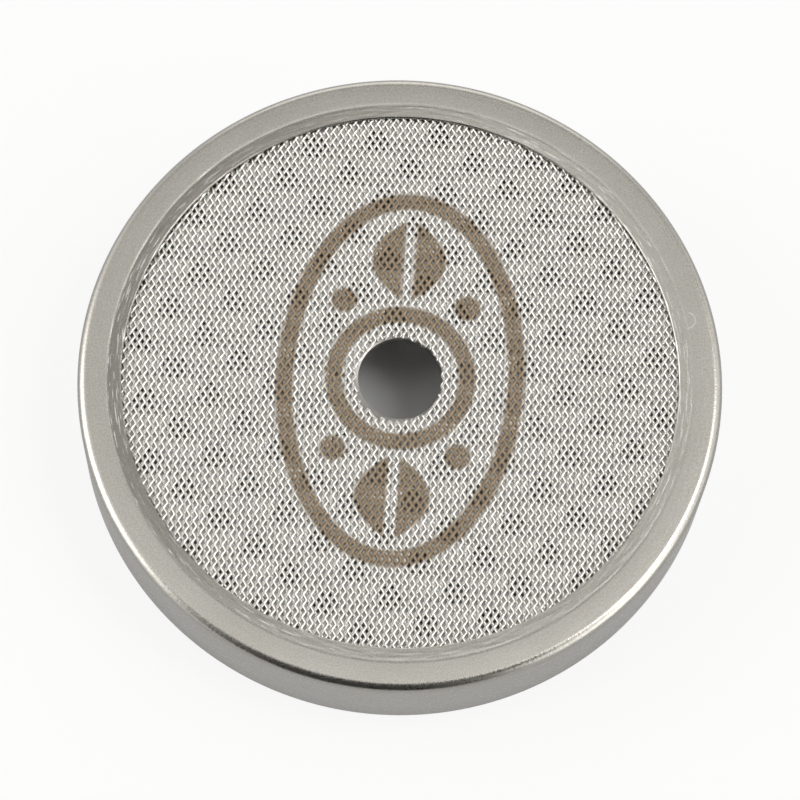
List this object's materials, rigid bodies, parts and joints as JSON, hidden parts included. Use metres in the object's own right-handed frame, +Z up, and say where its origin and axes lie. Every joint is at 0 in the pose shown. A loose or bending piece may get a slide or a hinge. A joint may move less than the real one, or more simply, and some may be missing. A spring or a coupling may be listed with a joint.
{
  "type": "espresso shower screen",
  "caption": "Round stainless shower screen: a rim ring clamps a woven wire mesh over a perforated spreader cup with a middle screw hole.",
  "frame": {"origin": "middle of the plane of the rim's open edge, on which the screen rests", "axes": "+Z up through the screw hole, towards the mesh face; -Y towards the viewer of the picture"},
  "size_m": [0.057, 0.057, 0.0091],
  "materials": {
    "rim_steel": "satin, lightly scratched by use",
    "mesh_wire": "bright drawn wire, tinted tan round the middle",
    "cup_steel": "plain rolled sheet"
  },
  "bodies": {
    "root": {"rim_ring": "rim_steel", "woven_mesh": "mesh_wire", "spreader_cup": "cup_steel"}
  },
  "joints": []
}
